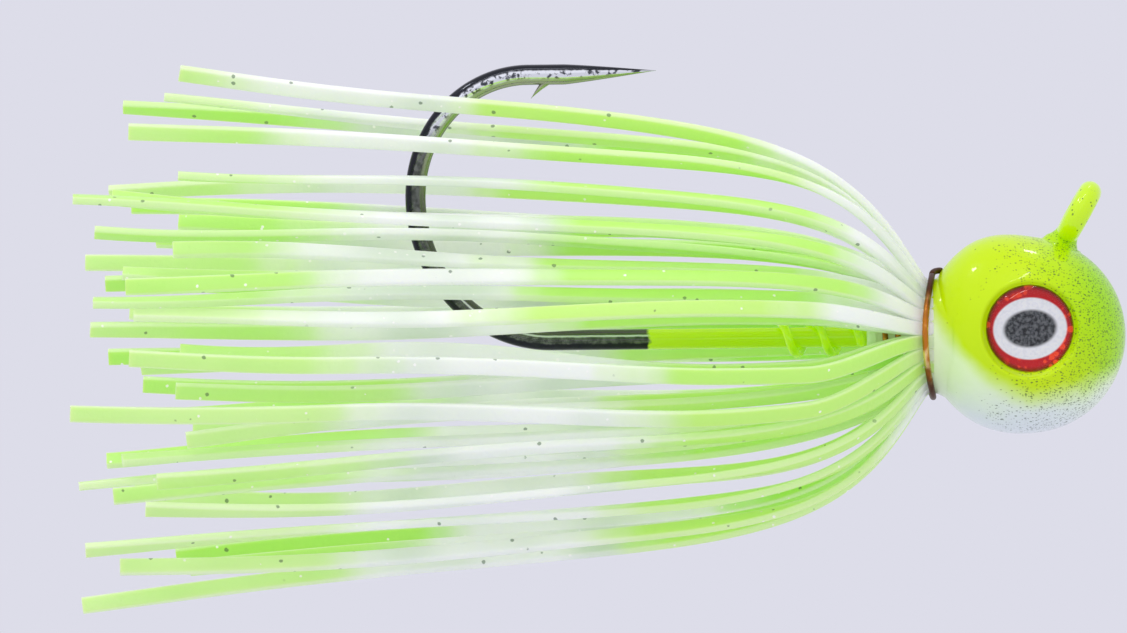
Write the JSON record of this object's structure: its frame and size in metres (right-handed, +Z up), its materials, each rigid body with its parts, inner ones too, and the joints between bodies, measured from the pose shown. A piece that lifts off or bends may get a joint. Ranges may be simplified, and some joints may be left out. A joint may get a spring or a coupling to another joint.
{
  "type": "jig head",
  "caption": "Round-headed fishing jig with glued eyes, a barbed hook, a coil bait keeper and a wire-tied silicone skirt.",
  "frame": {"origin": "centre of the line-tie ring, the hook eye on top of the head", "axes": "+X along the shank towards the nose, +Z up towards the hook point, +Y to the left across the hook plane"},
  "size_m": [0.0729, 0.0311, 0.0375],
  "materials": {
    "paint": "gloss paint, yellow-green over white, with dark flecks",
    "hook_steel": "black nickel plate, painted at the front",
    "keeper_paint": "gloss paint",
    "copper": "bright copper wire",
    "gold_wire": "dull gold wire",
    "eye_adhesive": "foam adhesive",
    "eye_foil": "printed foil, red ring, white oval, dark pupil",
    "eye_dome": "clear cast resin",
    "silicone": "translucent silicone, yellow-green and white bands with flakes"
  },
  "bodies": {
    "root": {"head_casting": "paint", "hook": "hook_steel", "keeper_coil": "keeper_paint", "tie_wire": "copper", "collar_wrap": "gold_wire", "eye_pad_left": "eye_adhesive", "eye_foil_left": "eye_foil", "eye_dome_left": "eye_dome", "eye_pad_right": "eye_adhesive", "eye_foil_right": "eye_foil", "eye_dome_right": "eye_dome", "strand_outer_01": "silicone", "strand_outer_02": "silicone", "strand_outer_03": "silicone", "strand_outer_04": "silicone", "strand_outer_05": "silicone", "strand_outer_06": "silicone", "strand_outer_07": "silicone", "strand_outer_08": "silicone", "strand_outer_09": "silicone", "strand_outer_10": "silicone", "strand_outer_11": "silicone", "strand_outer_12": "silicone", "strand_outer_13": "silicone", "strand_outer_14": "silicone", "strand_outer_15": "silicone", "strand_outer_16": "silicone", "strand_outer_17": "silicone", "strand_outer_18": "silicone", "strand_outer_19": "silicone", "strand_outer_20": "silicone", "strand_outer_21": "silicone", "strand_outer_22": "silicone", "strand_outer_23": "silicone", "strand_outer_24": "silicone", "strand_outer_25": "silicone", "strand_inner_01": "silicone", "strand_inner_02": "silicone", "strand_inner_03": "silicone", "strand_inner_04": "silicone", "strand_inner_05": "silicone", "strand_inner_06": "silicone", "strand_inner_07": "silicone", "strand_inner_08": "silicone", "strand_inner_09": "silicone", "strand_inner_10": "silicone", "strand_inner_11": "silicone", "strand_inner_12": "silicone", "strand_inner_13": "silicone", "strand_inner_14": "silicone", "strand_inner_15": "silicone", "strand_inner_16": "silicone", "strand_inner_17": "silicone", "strand_inner_18": "silicone", "strand_inner_19": "silicone", "strand_inner_20": "silicone", "strand_inner_21": "silicone", "strand_inner_22": "silicone"}
  },
  "joints": []
}
